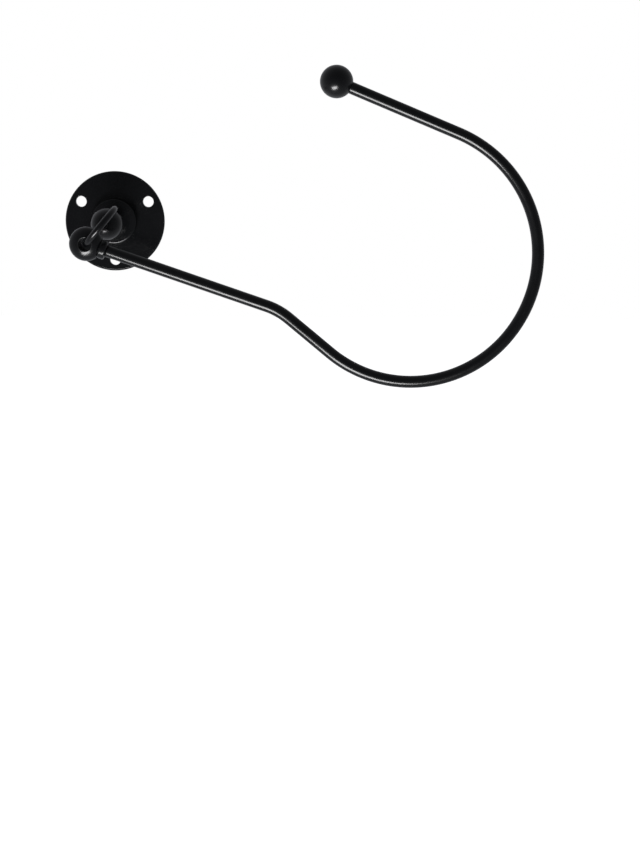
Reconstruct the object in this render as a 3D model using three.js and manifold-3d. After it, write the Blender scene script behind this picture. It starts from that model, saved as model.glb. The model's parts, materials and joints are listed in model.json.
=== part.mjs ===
// Swing-arm holdback for a curtain or shutter: a round wall plate carries a ball post with
// a ring eye, and a bent rod arm with a ball end hangs on the ring by a drilled eye.
// Millimetres. X runs along the wall to the right, Z up, Y into the wall. The origin is the
// centre of the plate's back face, so the room is on the -Y side. "Standoff" is the
// distance out from the wall.
import * as THREE from 'three';
import { mergeVertices } from 'three/addons/utils/BufferGeometryUtils.js';
import Module from 'manifold-3d';

// wall plate
const PLATE_RADIUS = 25;
const PLATE_THICKNESS = 2;
const PLATE_BEVEL = 0.7;
const SCREW_HOLE_RADIUS = 2.7;
const SCREW_CIRCLE_RADIUS = 19.5;
const SCREW_ANGLES = [30, 150, 270];

// rosette, stud and ball of the post
const ROSETTE_RADIUS = 11.2;
const ROSETTE_RIM_HEIGHT = 4.5;
const ROSETTE_DOME_RISE = 0.3;
const ROSETTE_EDGE_ROUND = 0.8;
const STUD_RADIUS = 2.5;
const STUD_TAIL_RADIUS = 4;
const STUD_TAIL_DEPTH = 1.5;
const STUD_NECK_RADIUS = 3.8;
const STUD_SPIGOT_RADIUS = 1.7;
const BALL_RADIUS = 7.85;
const POST_BALL_STANDOFF = 28.1;
const POST_BALL_FRONT_FLAT = 7.55;

// ring eye: a closed ring that stands out from the ball, nearly edge-on to the room
const RING_WIRE_RADIUS = 1.6;
const RING_CENTRE_RADIUS = 10.74;
const RING_SLANT = 50.5;
const RING_LEAN = 4.5;
const RING_SHANK_RADIUS = 1.7;

// arm
const EYE_RADIUS = 8.25;
const EYE_HALF_THICKNESS = 5.4;
const EYE_HOLE_RADIUS = 2.95;
const EYE_MOUTH_ROUND = 0.5;
const EYE_SEAT = 6.5;
const SHANK_RADIUS = 1.6;
const SHANK_REACH = 18;
const COLLAR_RADIUS = 4.6;
const COLLAR_LENGTH = 3.6;
const COLLAR_CHAMFER = 0.4;
const ROD_RADIUS = 2.9;
const ROD_SPIGOT_RADIUS = 1.8;
const ROD_SPIGOT_LENGTH = 5;
const ARM_DROOP = 18.8;
const ARM_FIRST_CORNER = 97;
const ARM_BEND_RADIUS = 33.5;
const ARM_BEND = 20.9;
const ARM_SECOND_LEG = 31.8;
const LOOP_ENTRY_RADIUS = 59.7;
const LOOP_ENTRY_TURN = 90.2;
const LOOP_EXIT_RADIUS = 61.8;
const LOOP_EXIT_TURN = 106.8;
const ARM_LAST_LEG = 62.5;

// play between pieces that meet, and the fineness of round shapes
const FIT_GAP = 0.3;
const ROUND_STEPS = 32;
const SMALL_ROUND_STEPS = 20;
const DOME_STEPS = 4;
const ROD_SIDES = 12;
const ROD_STEP = 3.8;
const OVERCUT = 1;

const coat = new THREE.MeshStandardMaterial({ color: 0x151617, roughness: 0.34, metalness: 0.55 });
const wasm = await Module();
wasm.setup();

function radians(degrees) {
  return THREE.MathUtils.degToRad(degrees);
}

// Turns a closed geometry into a solid that can be joined and cut.
function solid(geometry) {
  const bare = geometry.clone();
  bare.deleteAttribute('normal');
  bare.deleteAttribute('uv');
  const merged = mergeVertices(bare, 1e-4);
  return new wasm.Manifold(new wasm.Mesh({
    numProp: 3,
    vertProperties: new Float32Array(merged.attributes.position.array),
    triVerts: new Uint32Array(merged.index.array),
  }));
}

function geometryOf(body) {
  const mesh = body.getMesh();
  const geometry = new THREE.BufferGeometry();
  geometry.setAttribute('position', new THREE.BufferAttribute(mesh.vertProperties, 3));
  geometry.setIndex(new THREE.BufferAttribute(mesh.triVerts, 1));
  return geometry;
}

// A turned piece about the Y axis from [radius, height] pairs.
function turned(profile, steps = ROUND_STEPS) {
  return new THREE.LatheGeometry(profile.map(([r, h]) => new THREE.Vector2(r, h)), steps);
}

// Points of an arc, as [radius, height] pairs, between two angles in degrees.
function arc(centreR, centreH, radiusR, radiusH, from, to, count) {
  const points = [];
  for (let i = 0; i <= count; i += 1) {
    const angle = radians(from + ((to - from) * i) / count);
    points.push([centreR + radiusR * Math.cos(angle), centreH + radiusH * Math.sin(angle)]);
  }
  return points;
}

// A plain round bar along Y between two heights.
function bar(radius, from, to, steps = SMALL_ROUND_STEPS) {
  return new THREE.CylinderGeometry(radius, radius, to - from, steps).translate(0, (from + to) / 2, 0);
}

function piece(name, geometry) {
  const mesh = new THREE.Mesh(geometry, coat);
  mesh.name = name;
  return mesh;
}

// A flat disc with a bevelled front edge, three screw holes and a countersunk hole for the
// stud's tail. In the post pieces, +Y is the standoff from the wall.
function wallPlate() {
  const disc = turned([
    [0, 0],
    [PLATE_RADIUS, 0],
    [PLATE_RADIUS, PLATE_THICKNESS - PLATE_BEVEL],
    [PLATE_RADIUS - PLATE_BEVEL, PLATE_THICKNESS],
    [0, PLATE_THICKNESS],
  ], 72);
  const top = PLATE_THICKNESS + OVERCUT;
  const tail = turned([
    [0, -OVERCUT],
    [STUD_TAIL_RADIUS + FIT_GAP, -OVERCUT],
    [STUD_TAIL_RADIUS + FIT_GAP, 0],
    [STUD_RADIUS + FIT_GAP, STUD_TAIL_DEPTH],
    [STUD_RADIUS + FIT_GAP, top],
    [0, top],
  ], SMALL_ROUND_STEPS);
  let plate = solid(disc).subtract(solid(tail));
  for (const angle of SCREW_ANGLES) {
    const x = SCREW_CIRCLE_RADIUS * Math.cos(radians(angle));
    const z = -SCREW_CIRCLE_RADIUS * Math.sin(radians(angle));
    const hole = bar(SCREW_HOLE_RADIUS, -OVERCUT, top).translate(x, 0, z);
    plate = plate.subtract(solid(hole));
  }
  return piece('wall_plate', geometryOf(plate));
}

// A thick washer under the ball, with a rounded rim and a barely domed face.
function rosette() {
  const base = PLATE_THICKNESS + FIT_GAP;
  const rim = PLATE_THICKNESS + ROSETTE_RIM_HEIGHT;
  const bore = STUD_RADIUS + FIT_GAP;
  const shoulder = ROSETTE_RADIUS - ROSETTE_EDGE_ROUND;
  const dome = [];
  for (let i = 0; i <= DOME_STEPS; i += 1) {
    const r = shoulder + ((bore - shoulder) * i) / DOME_STEPS;
    dome.push([r, rim + ROSETTE_DOME_RISE * (1 - (r / shoulder) ** 2)]);
  }
  return piece('rosette', turned([
    [bore, base],
    [ROSETTE_RADIUS, base],
    ...arc(shoulder, rim - ROSETTE_EDGE_ROUND, ROSETTE_EDGE_ROUND, ROSETTE_EDGE_ROUND, 0, 80, 4),
    ...dome,
    [bore, base],
  ]));
}

// The turned stud that carries the post: its tail is peened flush in the plate's back, its
// neck stands on the rosette and its spigot enters the ball.
function postStud() {
  const neckStart = PLATE_THICKNESS + ROSETTE_RIM_HEIGHT + ROSETTE_DOME_RISE + FIT_GAP;
  const neckEnd = POST_BALL_STANDOFF - ballFlat(STUD_NECK_RADIUS) - FIT_GAP;
  return piece('post_stud', turned([
    [0, 0],
    [STUD_TAIL_RADIUS, 0],
    [STUD_RADIUS, STUD_TAIL_DEPTH],
    [STUD_RADIUS, neckStart],
    [STUD_NECK_RADIUS, neckStart],
    [STUD_NECK_RADIUS, neckEnd],
    [STUD_SPIGOT_RADIUS, neckEnd],
    [STUD_SPIGOT_RADIUS, POST_BALL_STANDOFF],
    [0, POST_BALL_STANDOFF],
  ], SMALL_ROUND_STEPS));
}

// Distance from a ball's centre to a flat of the given radius.
function ballFlat(radius) {
  return Math.sqrt(BALL_RADIUS ** 2 - radius ** 2);
}

// The post's ball: a flat at the back for the neck, one in front for the ring, bored through.
function postBall() {
  const bore = STUD_SPIGOT_RADIUS + FIT_GAP;
  const back = ballFlat(STUD_NECK_RADIUS);
  const from = -THREE.MathUtils.radToDeg(Math.asin(back / BALL_RADIUS));
  const to = THREE.MathUtils.radToDeg(Math.asin(POST_BALL_FRONT_FLAT / BALL_RADIUS));
  const geometry = turned([
    [bore, -back],
    ...arc(0, 0, BALL_RADIUS, BALL_RADIUS, from, to, 13),
    [bore, POST_BALL_FRONT_FLAT],
    [bore, -back],
  ]);
  const mesh = piece('post_ball', geometry);
  mesh.position.y = POST_BALL_STANDOFF;
  return mesh;
}

// The ring eye: a closed ring that leans a little out of the plane of the post's axis, on a
// short shank that screws into the front of the ball.
function ringEye() {
  const outer = RING_CENTRE_RADIUS + RING_WIRE_RADIUS;
  const shankTip = STUD_SPIGOT_RADIUS - outer - POST_BALL_FRONT_FLAT;
  const shankTop = RING_WIRE_RADIUS / 2 - outer;
  const ring = new THREE.TorusGeometry(RING_CENTRE_RADIUS, RING_WIRE_RADIUS, 10, 40);
  ring.rotateX(radians(RING_LEAN));
  const shank = bar(RING_SHANK_RADIUS, shankTip, shankTop, SMALL_ROUND_STEPS);
  const mesh = piece('ring_eye', geometryOf(solid(ring).add(solid(shank))));
  mesh.position.y = ringStandoff();
  mesh.rotation.y = radians(RING_SLANT);
  return mesh;
}

function ringStandoff() {
  return POST_BALL_STANDOFF + POST_BALL_FRONT_FLAT + FIT_GAP + RING_CENTRE_RADIUS + RING_WIRE_RADIUS;
}

// The arm's eye: a flattened ball drilled through along Y, with a flat seat for the collar
// and a shank that runs through the collar into the rod. In the arm pieces, +X runs from
// the eye along the rod.
function armEye() {
  const mouth = EYE_HOLE_RADIUS + EYE_MOUTH_ROUND;
  const mouthAngle = THREE.MathUtils.radToDeg(Math.acos(mouth / EYE_RADIUS));
  const mouthHeight = EYE_HALF_THICKNESS * Math.sin(radians(mouthAngle));
  const wall = mouthHeight - EYE_MOUTH_ROUND;
  const body = turned([
    ...arc(0, 0, EYE_RADIUS, EYE_HALF_THICKNESS, -mouthAngle, mouthAngle, 10),
    ...arc(mouth, wall, EYE_MOUTH_ROUND, EYE_MOUTH_ROUND, 90, 180, 3).slice(1),
    ...arc(mouth, -wall, EYE_MOUTH_ROUND, EYE_MOUTH_ROUND, 180, 270, 3),
  ]);
  const beyond = new THREE.BoxGeometry(EYE_RADIUS, 4 * EYE_RADIUS, 4 * EYE_RADIUS);
  beyond.translate(EYE_SEAT + EYE_RADIUS / 2, 0, 0);
  const shank = bar(SHANK_RADIUS, EYE_SEAT - OVERCUT, SHANK_REACH).rotateZ(-Math.PI / 2);
  return piece('arm_eye', geometryOf(solid(body).subtract(solid(beyond)).add(solid(shank))));
}

// A plain turned collar between the eye and the rod.
function armCollar() {
  const start = EYE_SEAT + FIT_GAP;
  const end = start + COLLAR_LENGTH;
  const bore = SHANK_RADIUS + FIT_GAP;
  const geometry = turned([
    [bore, start],
    [COLLAR_RADIUS - COLLAR_CHAMFER, start],
    [COLLAR_RADIUS, start + COLLAR_CHAMFER],
    [COLLAR_RADIUS, end - COLLAR_CHAMFER],
    [COLLAR_RADIUS - COLLAR_CHAMFER, end],
    [bore, end],
    [bore, start],
  ], SMALL_ROUND_STEPS);
  return piece('arm_collar', geometry.rotateZ(-Math.PI / 2));
}

// A circular arc in the XZ plane that leaves a point at a heading and turns by a signed
// angle, anticlockwise as seen from the room.
class FlatArc extends THREE.Curve {
  constructor(start, heading, radius, turn) {
    super();
    this.radius = radius;
    this.turn = turn;
    this.startAngle = heading - (Math.PI / 2) * Math.sign(turn);
    this.centre = start.clone().sub(this.spoke(0));
  }

  spoke(t) {
    const angle = this.startAngle + this.turn * t;
    return new THREE.Vector3(this.radius * Math.cos(angle), 0, this.radius * Math.sin(angle));
  }

  getPoint(t) {
    return this.centre.clone().add(this.spoke(t));
  }
}

function ahead(point, heading, distance) {
  const step = new THREE.Vector3(Math.cos(heading), 0, Math.sin(heading));
  return point.clone().addScaledVector(step, distance);
}

// The rod's centreline from a distance along its first leg to the face of the end ball:
// leg, bend, leg, open loop of two arcs, leg.
function armRoute(from, stopShort) {
  const bend = radians(ARM_BEND);
  const entry = radians(LOOP_ENTRY_TURN);
  const exit = radians(LOOP_EXIT_TURN);
  const tangent = ARM_BEND_RADIUS * Math.tan(bend / 2);
  const origin = new THREE.Vector3();
  const start = ahead(origin, 0, from);
  const bendStart = ahead(origin, 0, ARM_FIRST_CORNER - tangent);
  const bendArc = new FlatArc(bendStart, 0, ARM_BEND_RADIUS, -bend);
  const legStart = bendArc.getPoint(1);
  const loopStart = ahead(legStart, -bend, ARM_SECOND_LEG - tangent);
  const entryArc = new FlatArc(loopStart, -bend, LOOP_ENTRY_RADIUS, entry);
  const exitArc = new FlatArc(entryArc.getPoint(1), entry - bend, LOOP_EXIT_RADIUS, exit);
  const lastStart = exitArc.getPoint(1);
  const heading = entry + exit - bend;
  const end = ahead(lastStart, heading, ARM_LAST_LEG - stopShort);
  const path = new THREE.CurvePath();
  path.add(new THREE.LineCurve3(start, bendStart));
  path.add(bendArc);
  path.add(new THREE.LineCurve3(legStart, loopStart));
  path.add(entryArc);
  path.add(exitArc);
  path.add(new THREE.LineCurve3(lastStart, end));
  return { path, end, heading };
}

// The bent rod, bored at its root for the eye's shank and turned down to a spigot at its tip.
function armRod() {
  const start = EYE_SEAT + COLLAR_LENGTH + 2 * FIT_GAP;
  const face = ballFlat(ROD_RADIUS) + FIT_GAP;
  const { path, end, heading } = armRoute(start, face);
  const section = new THREE.Shape().absarc(0, 0, ROD_RADIUS, 0, 2 * Math.PI, false);
  const rod = new THREE.ExtrudeGeometry(section, {
    steps: Math.round(path.getLength() / ROD_STEP),
    curveSegments: ROD_SIDES / 2,
    extrudePath: path,
  });
  const bore = bar(SHANK_RADIUS + FIT_GAP, start - OVERCUT, SHANK_REACH + OVERCUT, 16);
  const spigot = bar(ROD_SPIGOT_RADIUS, -OVERCUT, ROD_SPIGOT_LENGTH, 16);
  spigot.rotateZ(-Math.PI / 2).rotateY(-heading).translate(end.x, end.y, end.z);
  const body = solid(rod).subtract(solid(bore.rotateZ(-Math.PI / 2))).add(solid(spigot));
  return piece('arm_rod', geometryOf(body));
}

// The ball on the arm's free end, with a flat and a blind bore for the rod's spigot.
function endBall() {
  const { end, heading } = armRoute(0, 0);
  const bore = ROD_SPIGOT_RADIUS + FIT_GAP;
  const flat = ballFlat(ROD_RADIUS);
  const boreEnd = flat - ROD_SPIGOT_LENGTH - OVERCUT;
  const to = THREE.MathUtils.radToDeg(Math.asin(flat / BALL_RADIUS));
  const geometry = turned([
    ...arc(0, 0, BALL_RADIUS, BALL_RADIUS, -90, to, 14),
    [bore, flat],
    [bore, boreEnd],
    [0, boreEnd],
  ]);
  const mesh = piece('end_ball', geometry.rotateZ(Math.PI / 2));
  mesh.position.copy(end);
  mesh.rotation.y = -heading;
  return mesh;
}

// The post's pieces are turned about their standoff axis, which points out from the wall.
const post = new THREE.Group();
post.rotation.x = Math.PI;
post.add(wallPlate(), rosette(), postStud(), postBall(), ringEye());

// The arm's eye is threaded on the ring where the wire runs straight out from the wall.
const arm = new THREE.Group();
arm.position.set(
  -RING_CENTRE_RADIUS * Math.cos(radians(RING_SLANT)),
  -ringStandoff(),
  -RING_CENTRE_RADIUS * Math.sin(radians(RING_SLANT)),
);
arm.rotation.y = radians(ARM_DROOP);
arm.add(armEye(), armCollar(), armRod(), endBall());

const holdback = new THREE.Group();
holdback.add(post, arm);
export default holdback;
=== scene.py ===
import json
from math import acos, asin, atan2, cos, hypot, pi, radians, sin, sqrt, tan

import bmesh
import bpy
from mathutils import Matrix, Vector

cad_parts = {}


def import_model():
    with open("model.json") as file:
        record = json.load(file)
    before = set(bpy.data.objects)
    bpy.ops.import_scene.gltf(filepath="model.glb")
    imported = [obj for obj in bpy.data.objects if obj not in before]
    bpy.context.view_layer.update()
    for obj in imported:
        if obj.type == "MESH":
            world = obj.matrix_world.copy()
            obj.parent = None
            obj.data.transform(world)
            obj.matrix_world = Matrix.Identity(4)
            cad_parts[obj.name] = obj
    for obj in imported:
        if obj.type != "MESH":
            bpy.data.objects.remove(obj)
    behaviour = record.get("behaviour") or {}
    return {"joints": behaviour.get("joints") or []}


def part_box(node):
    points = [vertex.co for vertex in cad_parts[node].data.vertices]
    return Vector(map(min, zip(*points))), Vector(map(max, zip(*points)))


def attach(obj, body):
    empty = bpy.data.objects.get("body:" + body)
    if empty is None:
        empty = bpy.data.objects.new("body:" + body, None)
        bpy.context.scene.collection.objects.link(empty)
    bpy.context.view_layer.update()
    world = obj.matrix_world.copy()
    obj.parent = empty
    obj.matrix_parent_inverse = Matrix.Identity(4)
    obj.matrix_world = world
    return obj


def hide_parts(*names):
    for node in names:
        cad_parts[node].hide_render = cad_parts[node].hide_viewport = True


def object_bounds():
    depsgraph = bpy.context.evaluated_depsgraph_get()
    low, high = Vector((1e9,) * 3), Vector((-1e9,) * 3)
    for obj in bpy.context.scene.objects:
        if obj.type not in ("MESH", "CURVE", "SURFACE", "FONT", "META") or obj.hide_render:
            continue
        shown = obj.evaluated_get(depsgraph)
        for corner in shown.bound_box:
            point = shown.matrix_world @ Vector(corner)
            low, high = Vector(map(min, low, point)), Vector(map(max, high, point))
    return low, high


# Looks of the swing-arm holdback. Each CAD node is replaced by a fine mesh of the same piece,
# turned along the same axis or bent along the same route. Metres, in the CAD frame: X to the
# right along the wall, Z up, and the room on the -Y side. "Standoff" is the distance out from
# the wall, and "reach" is the distance along the arm from the point where it hangs on the ring.

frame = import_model()
cad_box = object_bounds()
MM = 0.001

# sizes that the frame's boxes don't give
PLATE_BEVEL = 0.7 * MM
PLATE_EDGE_ROUND = 0.25 * MM
SCREW_HOLE_RADIUS = 2.7 * MM
SCREW_HOLE_MOUTH = 0.3 * MM
SCREW_CIRCLE_RADIUS = 19.5 * MM
SCREW_ANGLES = [30, 150, 270]
ROSETTE_RIM_HEIGHT = 4.5 * MM
ROSETTE_EDGE_ROUND = 0.8 * MM
ROSETTE_FOOT_ROUND = 0.2 * MM
STUD_RADIUS = 2.5 * MM
STUD_TAIL_RADIUS = 4 * MM
STUD_TAIL_DEPTH = 1.5 * MM
STUD_NECK_RADIUS = 3.8 * MM
STUD_SPIGOT_RADIUS = 1.7 * MM
BALL_FLAT_ROUND = 0.1 * MM
RING_SHANK_RADIUS = 1.7 * MM
RING_SHANK_ROUND = 0.4 * MM
RING_LEAN = radians(4.5)
EYE_HALF_THICKNESS = 5.4 * MM
EYE_HOLE_RADIUS = 2.95 * MM
EYE_MOUTH_ROUND = 0.5 * MM
EYE_SEAT = 6.5 * MM
SHANK_RADIUS = 1.6 * MM
SHANK_REACH = 18 * MM
COLLAR_RADIUS = 4.6 * MM
COLLAR_LENGTH = 3.6 * MM
COLLAR_ROUND = 0.9 * MM
ROD_SPIGOT_RADIUS = 1.8 * MM
ROD_SPIGOT_LENGTH = 5 * MM
ROD_ROOT_ROUND = 0.5 * MM
ROD_TIP_ROUND = 0.1 * MM
TURNED_EDGE_ROUND = 0.3 * MM

# the arm's bends
ARM_DROOP = radians(18.8)
ARM_FIRST_CORNER = 97 * MM
ARM_BEND_RADIUS = 33.5 * MM
ARM_BEND = radians(20.9)
ARM_SECOND_LEG = 31.8 * MM
LOOP_ENTRY_RADIUS = 59.7 * MM
LOOP_ENTRY_TURN = radians(90.2)
LOOP_EXIT_RADIUS = 61.8 * MM
LOOP_EXIT_TURN = radians(106.8)
ARM_LAST_LEG = 62.5 * MM

# the seam between pieces that meet, and the fineness of the meshes
FIT_GAP = 0.05 * MM
OVERCUT = 1 * MM
FINE_SIDES = 192
ROUND_SIDES = 96
ROD_SIDES = 48
BALL_STEPS = 48
FILLET_STEPS = 6
DOME_STEPS = 16
ROD_STEP = 1.5 * MM
ON_AXIS = 1e-7
CREASE_ANGLE = radians(32)


# ---------------------------------------------------------------- sizes read from the frame
def box_size(node):
    low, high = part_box(node)
    return high - low


PLATE_RADIUS = box_size("wall_plate").x / 2
PLATE_THICKNESS = box_size("wall_plate").y
ROSETTE_RADIUS = box_size("rosette").x / 2
ROSETTE_TOP = -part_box("rosette")[0].y
BALL_RADIUS = box_size("post_ball").x / 2
BALL_FRONT = -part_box("post_ball")[0].y
BALL_BACK = -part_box("post_ball")[1].y
BALL_STANDOFF = BALL_BACK + sqrt(BALL_RADIUS ** 2 - STUD_NECK_RADIUS ** 2)
PIVOT = Vector(frame["joints"][0]["pos_m"])
RING_RADIUS = hypot(PIVOT.x, PIVOT.z)
RING_SLANT = atan2(-PIVOT.z, -PIVOT.x)
RING_CENTRE = Vector((0, PIVOT.y, 0))
RING_WIRE_RADIUS = PIVOT.y - RING_RADIUS * cos(RING_LEAN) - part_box("ring_eye")[0].y
EYE_RADIUS = PIVOT.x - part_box("arm_eye")[0].x
ROD_RADIUS = box_size("arm_rod").y / 2


# ---------------------------------------------------------------- turning and bending
def straight(origin, along, side):
    """A straight spine: gives the point at a distance along it, and two directions across it."""
    across = Vector(along).cross(Vector(side))

    def spine(distance):
        return Vector(origin) + Vector(along) * distance, Vector(side), across

    return spine


def arm_runs():
    """The arm's legs and bends as (length, turn to the left per metre)."""
    tangent = ARM_BEND_RADIUS * tan(ARM_BEND / 2)
    return [
        (ARM_FIRST_CORNER - tangent, 0),
        (ARM_BEND_RADIUS * ARM_BEND, -1 / ARM_BEND_RADIUS),
        (ARM_SECOND_LEG - tangent, 0),
        (LOOP_ENTRY_RADIUS * LOOP_ENTRY_TURN, 1 / LOOP_ENTRY_RADIUS),
        (LOOP_EXIT_RADIUS * LOOP_EXIT_TURN, 1 / LOOP_EXIT_RADIUS),
        (ARM_LAST_LEG, 0),
    ]


def arm_spine(distance):
    """The same for the arm: straight legs joined by arcs, starting at the pivot."""
    place = PIVOT.copy()
    heading = -ARM_DROOP
    runs = arm_runs()
    for i, (length, curve) in enumerate(runs):
        step = distance if i == len(runs) - 1 else min(distance, length)
        ahead = Vector((cos(heading), 0, sin(heading)))
        if curve:
            left = Vector((-sin(heading), 0, cos(heading)))
            turn = step * curve
            place += (ahead * sin(turn) + left * (1 - cos(turn))) / curve
            heading += turn
        else:
            place += ahead * step
        distance -= step
        if distance <= 0:
            break
    left = Vector((-sin(heading), 0, cos(heading)))
    return place, left, Vector((0, 1, 0))


def filleted(corners, loop=False):
    """An outline from (distance, radius, fillet) corners, with an arc at each filleted one."""
    outline = []
    for i, (distance, radius, fillet) in enumerate(corners):
        corner = Vector((distance, radius))
        if not fillet or (not loop and i in (0, len(corners) - 1)):
            outline.append(corner)
            continue
        back = (Vector(corners[i - 1][:2]) - corner).normalized()
        ahead = (Vector(corners[(i + 1) % len(corners)][:2]) - corner).normalized()
        half = back.angle(ahead) / 2
        centre = corner + (back + ahead).normalized() * (fillet / sin(half))
        spoke = corner + back * (fillet / tan(half)) - centre
        turn = pi - 2 * half
        if back.x * ahead.y - back.y * ahead.x > 0:
            turn = -turn
        for k in range(FILLET_STEPS + 1):
            outline.append(centre + Matrix.Rotation(turn * k / FILLET_STEPS, 2) @ spoke)
    return outline


def bulge(centre, half_length, radius, start, end, steps):
    """Corners along a round or oval bulge, between two latitudes."""
    corners = []
    for k in range(steps + 1):
        latitude = start + (end - start) * k / steps
        corners.append((centre + half_length * sin(latitude), radius * cos(latitude), 0))
    return corners


def turned(name, spine, outline, sides, loop=False):
    """A mesh turned about a spine. A loop's outline closes on itself instead of on the axis."""
    shape = bmesh.new()
    rings = []
    for distance, radius in outline:
        centre, side, across = spine(distance)
        if radius < ON_AXIS:
            rings.append([shape.verts.new(centre)])
            continue
        angles = [2 * pi * k / sides for k in range(sides)]
        spokes = [side * cos(angle) + across * sin(angle) for angle in angles]
        rings.append([shape.verts.new(centre + spoke * radius) for spoke in spokes])
    pairs = list(zip(rings, rings[1:]))
    if loop:
        pairs.append((rings[-1], rings[0]))
    for near, far in pairs:
        for k in range(sides):
            n = (k + 1) % sides
            around = [near[k % len(near)], near[n % len(near)], far[n % len(far)], far[k % len(far)]]
            shape.faces.new(list(dict.fromkeys(around)))
    bmesh.ops.recalc_face_normals(shape, faces=shape.faces)
    mesh = bpy.data.meshes.new(name)
    shape.to_mesh(mesh)
    shape.free()
    piece = bpy.data.objects.new(name, mesh)
    bpy.context.scene.collection.objects.link(piece)
    return piece


def combine(piece, tool, operation):
    """Joins a second solid to a piece, or cuts it away, and drops the second one."""
    modifier = piece.modifiers.new("combine", "BOOLEAN")
    modifier.operation = operation
    modifier.solver = "EXACT"
    modifier.object = tool
    view = bpy.context.evaluated_depsgraph_get()
    mesh = bpy.data.meshes.new_from_object(piece.evaluated_get(view))
    piece.modifiers.clear()
    piece.data = mesh
    mesh.name = piece.name
    bpy.data.objects.remove(tool)


# ---------------------------------------------------------------- the post
def post_spine():
    return straight((0, 0, 0), (0, -1, 0), (1, 0, 0))


def wall_plate():
    """A disc with a bevelled front edge, three screw holes and a countersunk stud hole."""
    disc = filleted([
        (0, 0, 0),
        (0, PLATE_RADIUS, PLATE_EDGE_ROUND),
        (PLATE_THICKNESS - PLATE_BEVEL, PLATE_RADIUS, PLATE_EDGE_ROUND),
        (PLATE_THICKNESS, PLATE_RADIUS - PLATE_BEVEL, PLATE_EDGE_ROUND),
        (PLATE_THICKNESS, 0, 0),
    ])
    plate = turned("plate_fine", post_spine(), disc, FINE_SIDES)
    for angle in SCREW_ANGLES:
        at = Vector((cos(radians(angle)), 0, sin(radians(angle)))) * SCREW_CIRCLE_RADIUS
        combine(plate, screw_hole(at), "DIFFERENCE")
    combine(plate, stud_hole(), "DIFFERENCE")
    return plate


def screw_hole(at):
    """The solid that cuts one screw hole, with a rounded mouth."""
    mouth = PLATE_THICKNESS - SCREW_HOLE_MOUTH
    wide = SCREW_HOLE_RADIUS + SCREW_HOLE_MOUTH
    outline = [(-OVERCUT, 0), (-OVERCUT, SCREW_HOLE_RADIUS)]
    for k in range(FILLET_STEPS + 1):
        angle = pi / 2 * k / FILLET_STEPS
        outline.append((mouth + SCREW_HOLE_MOUTH * sin(angle), wide - SCREW_HOLE_MOUTH * cos(angle)))
    outline += [(PLATE_THICKNESS + OVERCUT, wide), (PLATE_THICKNESS + OVERCUT, 0)]
    return turned("hole", straight(at, (0, -1, 0), (1, 0, 0)), outline, ROUND_SIDES)


def stud_hole():
    top = PLATE_THICKNESS + OVERCUT
    tail = STUD_TAIL_RADIUS + FIT_GAP
    stem = STUD_RADIUS + FIT_GAP
    outline = [
        (-OVERCUT, 0),
        (-OVERCUT, tail),
        (0, tail),
        (STUD_TAIL_DEPTH, stem),
        (top, stem),
        (top, 0),
    ]
    return turned("hole", post_spine(), outline, ROUND_SIDES)


def rosette():
    """The thick washer on the plate."""
    base = PLATE_THICKNESS + FIT_GAP
    rim = PLATE_THICKNESS + ROSETTE_RIM_HEIGHT
    bore = STUD_RADIUS + FIT_GAP
    shoulder = ROSETTE_RADIUS - ROSETTE_EDGE_ROUND
    rise = (ROSETTE_TOP - rim) / (1 - (bore / shoulder) ** 2)
    corners = [(base, bore, 0), (base, ROSETTE_RADIUS, ROSETTE_FOOT_ROUND)]
    for k in range(FILLET_STEPS + 1):
        angle = pi / 2 * k / FILLET_STEPS
        drop = ROSETTE_EDGE_ROUND * (1 - sin(angle))
        corners.append((rim - drop, shoulder + ROSETTE_EDGE_ROUND * cos(angle), 0))
    for k in range(1, DOME_STEPS + 1):
        radius = shoulder + (bore - shoulder) * k / DOME_STEPS
        corners.append((rim + rise * (1 - (radius / shoulder) ** 2), radius, 0))
    return turned("rosette_fine", post_spine(), filleted(corners, True), ROUND_SIDES, True)


def post_stud():
    """The stud through plate and rosette, its neck and its spigot in the ball."""
    neck_start = ROSETTE_TOP + FIT_GAP
    neck_end = BALL_BACK - FIT_GAP
    outline = filleted([
        (0, 0, 0),
        (0, STUD_TAIL_RADIUS, TURNED_EDGE_ROUND),
        (STUD_TAIL_DEPTH, STUD_RADIUS, 0),
        (neck_start, STUD_RADIUS, 0),
        (neck_start, STUD_NECK_RADIUS, TURNED_EDGE_ROUND),
        (neck_end, STUD_NECK_RADIUS, TURNED_EDGE_ROUND),
        (neck_end, STUD_SPIGOT_RADIUS, 0),
        (BALL_STANDOFF, STUD_SPIGOT_RADIUS, TURNED_EDGE_ROUND),
        (BALL_STANDOFF, 0, 0),
    ])
    return turned("stud_fine", post_spine(), outline, ROUND_SIDES)


def post_ball():
    """The post's ball, bored through, with a flat at the neck and one at the ring."""
    bore = STUD_SPIGOT_RADIUS + FIT_GAP
    start = asin((BALL_BACK - BALL_STANDOFF) / BALL_RADIUS)
    end = asin((BALL_FRONT - BALL_STANDOFF) / BALL_RADIUS)
    sphere = bulge(BALL_STANDOFF, BALL_RADIUS, BALL_RADIUS, start, end, BALL_STEPS)
    sphere[0] = (*sphere[0][:2], BALL_FLAT_ROUND)
    sphere[-1] = (*sphere[-1][:2], BALL_FLAT_ROUND)
    corners = [(BALL_BACK, bore, 0), *sphere, (BALL_FRONT, bore, 0)]
    return turned("post_ball_fine", post_spine(), filleted(corners, True), ROUND_SIDES, True)


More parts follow.
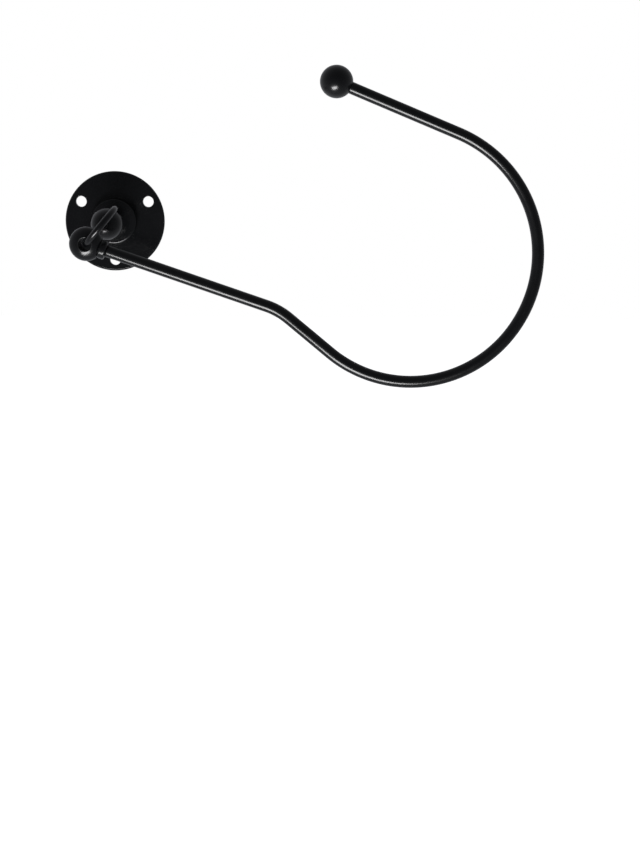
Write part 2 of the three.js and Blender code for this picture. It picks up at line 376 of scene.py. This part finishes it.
def ring_eye():
    """The closed, leaning ring and its shank, which screws into the front of the ball."""
    slant = Vector((cos(RING_SLANT), 0, sin(RING_SLANT)))
    sideways = Vector((sin(RING_SLANT), 0, -cos(RING_SLANT)))
    out = Vector((0, -cos(RING_LEAN), 0)) + sideways * sin(RING_LEAN)
    normal = slant.cross(out)
    wire = []
    for k in range(ROD_SIDES):
        angle = 2 * pi * k / ROD_SIDES
        wire.append((RING_WIRE_RADIUS * sin(angle), RING_RADIUS + RING_WIRE_RADIUS * cos(angle)))
    spine = straight(RING_CENTRE, normal, slant)
    ring = turned("ring_fine", spine, wire, FINE_SIDES, True)
    tip = BALL_STANDOFF + STUD_SPIGOT_RADIUS
    root = BALL_FRONT + FIT_GAP
    top = -RING_CENTRE.y - RING_RADIUS - RING_WIRE_RADIUS / 2
    shank = filleted([
        (tip, 0, 0),
        (tip, RING_SHANK_RADIUS, 0),
        (root, RING_SHANK_RADIUS, 0),
        (top, RING_SHANK_RADIUS, RING_SHANK_ROUND),
        (top, 0, 0),
    ])
    combine(ring, turned("shank", post_spine(), shank, ROUND_SIDES), "UNION")
    return ring


# ---------------------------------------------------------------- the arm
def arm_eye():
    """The flattened ball, drilled through, with a flat seat and a shank for collar and rod."""
    mouth = EYE_HOLE_RADIUS + EYE_MOUTH_ROUND
    latitude = acos(mouth / EYE_RADIUS)
    wall = EYE_HALF_THICKNESS * sin(latitude) - EYE_MOUTH_ROUND
    corners = bulge(0, EYE_HALF_THICKNESS, EYE_RADIUS, -latitude, latitude, BALL_STEPS)
    for k in range(1, 2 * FILLET_STEPS + 1):
        angle = pi / 2 * k / (2 * FILLET_STEPS)
        corners.append((wall + EYE_MOUTH_ROUND * cos(angle), mouth - EYE_MOUTH_ROUND * sin(angle), 0))
    for k in range(2 * FILLET_STEPS):
        angle = pi / 2 * k / (2 * FILLET_STEPS)
        corners.append((-wall - EYE_MOUTH_ROUND * sin(angle), mouth - EYE_MOUTH_ROUND * cos(angle), 0))
    outline = filleted(corners, True)
    eye = turned("eye_fine", straight(PIVOT, (0, 1, 0), (1, 0, 0)), outline, ROUND_SIDES, True)
    far = EYE_SEAT + EYE_RADIUS
    beyond = [(EYE_SEAT, 0), (EYE_SEAT, EYE_RADIUS), (far, EYE_RADIUS), (far, 0)]
    combine(eye, turned("beyond", arm_spine, beyond, ROUND_SIDES), "DIFFERENCE")
    start = EYE_SEAT - OVERCUT
    shank = [(start, 0), (start, SHANK_RADIUS), (SHANK_REACH, SHANK_RADIUS), (SHANK_REACH, 0)]
    combine(eye, turned("shank", arm_spine, shank, ROUND_SIDES), "UNION")
    return eye


def arm_collar():
    start = EYE_SEAT + FIT_GAP
    end = start + COLLAR_LENGTH
    bore = SHANK_RADIUS + FIT_GAP
    outline = filleted([
        (start, bore, 0),
        (start, COLLAR_RADIUS, COLLAR_ROUND),
        (end, COLLAR_RADIUS, COLLAR_ROUND),
        (end, bore, 0),
    ], True)
    return turned("collar_fine", arm_spine, outline, ROUND_SIDES, True)


def arm_rod():
    """The bent rod, bored at its root for the eye's shank, with a spigot for the end ball."""
    root = EYE_SEAT + COLLAR_LENGTH + 2 * FIT_GAP
    tip = arm_length() - sqrt(BALL_RADIUS ** 2 - ROD_RADIUS ** 2) - FIT_GAP
    bore = SHANK_RADIUS + FIT_GAP
    bore_end = SHANK_REACH + OVERCUT
    spigot_end = tip + ROD_SPIGOT_LENGTH
    corners = [
        (bore_end, 0, 0),
        (bore_end, bore, 0),
        (root, bore, 0),
        (root, ROD_RADIUS, ROD_ROOT_ROUND),
    ]
    steps = round((tip - root) / ROD_STEP)
    for k in range(1, steps):
        corners.append((root + (tip - root) * k / steps, ROD_RADIUS, 0))
    corners += [
        (tip, ROD_RADIUS, ROD_TIP_ROUND),
        (tip, ROD_SPIGOT_RADIUS, 0),
        (spigot_end, ROD_SPIGOT_RADIUS, TURNED_EDGE_ROUND),
        (spigot_end, 0, 0),
    ]
    return turned("rod_fine", arm_spine, filleted(corners), ROD_SIDES)


def arm_length():
    return sum(length for length, curve in arm_runs())


def end_ball():
    """The ball on the arm's free end, with a flat and a blind bore for the rod's spigot."""
    centre = arm_length()
    face = centre - sqrt(BALL_RADIUS ** 2 - ROD_RADIUS ** 2)
    bore = ROD_SPIGOT_RADIUS + FIT_GAP
    bore_end = face + ROD_SPIGOT_LENGTH + OVERCUT
    start = -acos(ROD_RADIUS / BALL_RADIUS)
    sphere = bulge(centre, BALL_RADIUS, BALL_RADIUS, start, pi / 2, BALL_STEPS)
    sphere[0] = (*sphere[0][:2], BALL_FLAT_ROUND)
    corners = [(bore_end, 0, 0), (bore_end, bore, 0), (face, bore, 0), *sphere]
    return turned("end_ball_fine", arm_spine, filleted(corners), ROUND_SIDES)


# ---------------------------------------------------------------- the coat
COAT_DARK = (0.0022, 0.0024, 0.0028)
COAT_PALE = (0.0034, 0.0036, 0.0042)
COAT_IOR = 1.5
FLAT_GLOSS = (0.16, 0.20)
ROUND_GLOSS = (0.20, 0.25)
CLOUD_SCALE = 140
CLOUD_RANGE = (0.3, 0.7)
PEEL_SCALE = 2500
PEEL_STRENGTH = 0.04
PEEL_DEPTH = 0.006 * MM
SCUFF_GAIN = 2.4
SCUFF_REACH = 0.8 * MM


def nodes_of(material):
    tree = material.node_tree
    tree.nodes.clear()
    return tree.nodes, tree.links


def coat(name, gloss_range, scuff=1):
    """Satin black powder coat: fine orange peel and cloudy gloss, duller by scuff in the eye's hole.

    The gloss range is its smoothest and its roughest value."""
    material = bpy.data.materials.new(name)
    material.use_nodes = True
    nodes, links = nodes_of(material)
    output = nodes.new("ShaderNodeOutputMaterial")
    shader = nodes.new("ShaderNodeBsdfPrincipled")
    links.new(shader.outputs["BSDF"], output.inputs["Surface"])
    place = nodes.new("ShaderNodeTexCoord").outputs["Object"]
    clouds = noise(nodes, links, place, CLOUD_SCALE, 3)
    peel = noise(nodes, links, place, PEEL_SCALE, 2)

    tint = nodes.new("ShaderNodeMix")
    tint.data_type = "RGBA"
    tint.inputs["A"].default_value = (*COAT_DARK, 1)
    tint.inputs["B"].default_value = (*COAT_PALE, 1)
    links.new(clouds, tint.inputs["Factor"])
    links.new(tint.outputs["Result"], shader.inputs["Base Color"])

    gloss = remap(nodes, links, clouds, *CLOUD_RANGE, *gloss_range)
    off_axis = distance_from_pivot_axis(nodes, links, place)
    scuffed = remap(nodes, links, off_axis, EYE_HOLE_RADIUS, EYE_HOLE_RADIUS + SCUFF_REACH, scuff, 1)
    links.new(compute(nodes, links, "MULTIPLY", gloss, scuffed), shader.inputs["Roughness"])

    bump = nodes.new("ShaderNodeBump")
    bump.inputs["Strength"].default_value = PEEL_STRENGTH
    bump.inputs["Distance"].default_value = PEEL_DEPTH
    links.new(peel, bump.inputs["Height"])
    links.new(bump.outputs["Normal"], shader.inputs["Normal"])
    shader.inputs["IOR"].default_value = COAT_IOR
    return material


def noise(nodes, links, place, scale, detail):
    texture = nodes.new("ShaderNodeTexNoise")
    texture.inputs["Scale"].default_value = scale
    texture.inputs["Detail"].default_value = detail
    links.new(place, texture.inputs["Vector"])
    return texture.outputs["Fac"]


def remap(nodes, links, value, low, high, to_low, to_high):
    node = nodes.new("ShaderNodeMapRange")
    node.inputs["From Min"].default_value = low
    node.inputs["From Max"].default_value = high
    node.inputs["To Min"].default_value = to_low
    node.inputs["To Max"].default_value = to_high
    links.new(value, node.inputs["Value"])
    return node.outputs["Result"]


def compute(nodes, links, operation, *values):
    """A math node; each value is a socket or a number."""
    node = nodes.new("ShaderNodeMath")
    node.operation = operation
    for socket, value in zip(node.inputs, values):
        if isinstance(value, (int, float)):
            socket.default_value = value
        else:
            links.new(value, socket)
    return node.outputs["Value"]


def distance_from_pivot_axis(nodes, links, place):
    """How far a place is from the axis that the arm swings about, which runs along Y."""
    flat = nodes.new("ShaderNodeVectorMath")
    flat.operation = "MULTIPLY"
    flat.inputs[1].default_value = (1, 0, 1)
    links.new(place, flat.inputs[0])
    off = nodes.new("ShaderNodeVectorMath")
    off.operation = "DISTANCE"
    off.inputs[1].default_value = (PIVOT.x, 0, PIVOT.z)
    links.new(flat.outputs["Vector"], off.inputs[0])
    return off.outputs["Value"]


def dress(piece, material, body, node):
    """Smooth shading, the coat, and the body and CAD node that the piece goes with."""
    piece.data.shade_smooth()
    piece.data.set_sharp_from_angle(angle=CREASE_ANGLE)
    normals = piece.modifiers.new("weighted normals", "WEIGHTED_NORMAL")
    normals.keep_sharp = True
    piece.data.materials.clear()
    piece.data.materials.append(material)
    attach(piece, body)
    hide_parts(node)


def build_object():
    flat_coat = coat("coat_flat", FLAT_GLOSS)
    round_coat = coat("coat_round", ROUND_GLOSS)
    eye_coat = coat("coat_eye", ROUND_GLOSS, SCUFF_GAIN)
    dress(wall_plate(), flat_coat, "wall_mount", "wall_plate")
    dress(rosette(), flat_coat, "wall_mount", "rosette")
    dress(post_stud(), round_coat, "wall_mount", "post_stud")
    dress(post_ball(), round_coat, "wall_mount", "post_ball")
    dress(ring_eye(), round_coat, "wall_mount", "ring_eye")
    dress(arm_eye(), eye_coat, "arm", "arm_eye")
    dress(arm_collar(), round_coat, "arm", "arm_collar")
    dress(arm_rod(), round_coat, "arm", "arm_rod")
    dress(end_ball(), round_coat, "arm", "end_ball")


# ---------------------------------------------------------------- the studio
# The glow is what the coat reflects from all round: brighter on the wall's side, left and low.
CAMERA_PLACE = (0.12808, -0.85342, 0.04829)
CAMERA_YAW = radians(-1.666)
CAMERA_PITCH = radians(-6.399)
CAMERA_ROLL = radians(0.158)
CAMERA_LENS = 71.76
CAMERA_SENSOR = 36
CAMERA_SHIFT = -0.13
CAMERA_CLIP = 10 * MM
KEY_PLACE = (-0.070, -0.648, -0.565)
KEY_AIM = (0.100, -0.040, 0)
KEY_WIDTH = 0.50
KEY_HEIGHT = 0.27
KEY_TIP = radians(14)
KEY_POWER = 7.4
GLOW_ROOM = 0.08
GLOW_WALL = 0.5
GLOW_SLOPE = 1.4
GLOW_TINT = (0.80, 0.82, 0.86)
GLOW_LEAN = (-0.18, 0, -0.2)
FLOOR_DROP = 0.65
FLOOR_REACH = 6
FLOOR_COLOUR = (0.9, 0.9, 0.9, 1)
FLOOR_ROUGHNESS = 0.8
FLOOR_GLOW = 0.9
WHITE = (1, 1, 1, 1)


def camera():
    data = bpy.data.cameras.new("camera")
    data.lens = CAMERA_LENS
    data.sensor_width = CAMERA_SENSOR
    data.shift_y = CAMERA_SHIFT
    data.clip_start = CAMERA_CLIP
    holder = bpy.data.objects.new("camera", data)
    bpy.context.scene.collection.objects.link(holder)
    level = Vector((cos(CAMERA_YAW), -sin(CAMERA_YAW), 0))
    forward = Vector((sin(CAMERA_YAW), cos(CAMERA_YAW), 0))
    ahead = forward * cos(CAMERA_PITCH) + Vector((0, 0, sin(CAMERA_PITCH)))
    upright = level.cross(ahead)
    right = level * cos(CAMERA_ROLL) + upright * sin(CAMERA_ROLL)
    up = upright * cos(CAMERA_ROLL) - level * sin(CAMERA_ROLL)
    turn = Matrix((right, up, -ahead)).transposed()
    holder.matrix_world = Matrix.Translation(CAMERA_PLACE) @ turn.to_4x4()
    bpy.context.scene.camera = holder


def key_light():
    """A large softbox, low in front of the arm and a little tipped."""
    data = bpy.data.lights.new("key", "AREA")
    data.shape = "RECTANGLE"
    data.size = KEY_WIDTH
    data.size_y = KEY_HEIGHT
    data.energy = KEY_POWER
    holder = bpy.data.objects.new("key", data)
    bpy.context.scene.collection.objects.link(holder)
    holder.location = KEY_PLACE
    facing = (Vector(KEY_PLACE) - Vector(KEY_AIM)).to_track_quat("Z", "Y").to_matrix()
    holder.rotation_euler = (facing @ Matrix.Rotation(KEY_TIP, 3, "Z")).to_euler()
    holder.visible_camera = False


def world():
    """White to the camera; to reflections, dark on the room's side and pale on the wall's."""
    scene_world = bpy.data.worlds.new("studio")
    scene_world.use_nodes = True
    nodes, links = nodes_of(scene_world)
    output = nodes.new("ShaderNodeOutputWorld")
    seen = nodes.new("ShaderNodeBackground")
    seen.inputs["Color"].default_value = WHITE
    around = nodes.new("ShaderNodeBackground")
    around.inputs["Color"].default_value = (*GLOW_TINT, 1)
    direction = nodes.new("ShaderNodeTexCoord").outputs["Generated"]
    parts = nodes.new("ShaderNodeSeparateXYZ")
    links.new(direction, parts.inputs["Vector"])
    behind = remap(nodes, links, parts.outputs["Y"], -1, 1, 0, 1)
    slope = compute(nodes, links, "POWER", behind, GLOW_SLOPE)
    glow = compute(nodes, links, "MULTIPLY_ADD", slope, GLOW_WALL, GLOW_ROOM)
    lean = nodes.new("ShaderNodeVectorMath")
    lean.operation = "DOT_PRODUCT"
    lean.inputs[1].default_value = GLOW_LEAN
    links.new(direction, lean.inputs[0])
    share = compute(nodes, links, "ADD", lean.outputs["Value"], 1)
    links.new(compute(nodes, links, "MULTIPLY", glow, share), around.inputs["Strength"])
    chooser = nodes.new("ShaderNodeMixShader")
    links.new(nodes.new("ShaderNodeLightPath").outputs["Is Camera Ray"], chooser.inputs["Fac"])
    links.new(around.outputs["Background"], chooser.inputs[1])
    links.new(seen.outputs["Background"], chooser.inputs[2])
    links.new(chooser.outputs["Shader"], output.inputs["Surface"])
    bpy.context.scene.world = scene_world


def floor():
    """A plain pale floor well below the object."""
    middle = (cad_box[0] + cad_box[1]) / 2
    level = cad_box[0].z - FLOOR_DROP
    shape = bmesh.new()
    corners = []
    for x, y in ((-1, -1), (1, -1), (1, 1), (-1, 1)):
        corners.append(shape.verts.new((middle.x + x * FLOOR_REACH, middle.y + y * FLOOR_REACH, level)))
    shape.faces.new(corners)
    mesh = bpy.data.meshes.new("floor")
    shape.to_mesh(mesh)
    shape.free()
    holder = bpy.data.objects.new("floor", mesh)
    bpy.context.scene.collection.objects.link(holder)
    material = bpy.data.materials.new("floor")
    material.use_nodes = True
    shader = material.node_tree.nodes["Principled BSDF"]
    shader.inputs["Base Color"].default_value = FLOOR_COLOUR
    shader.inputs["Roughness"].default_value = FLOOR_ROUGHNESS
    shader.inputs["Emission Color"].default_value = WHITE
    shader.inputs["Emission Strength"].default_value = FLOOR_GLOW
    mesh.materials.append(material)
    holder.visible_glossy = False


def studio():
    camera()
    key_light()
    world()
    floor()
    bpy.context.scene.view_settings.view_transform = "Standard"


build_object()
studio()
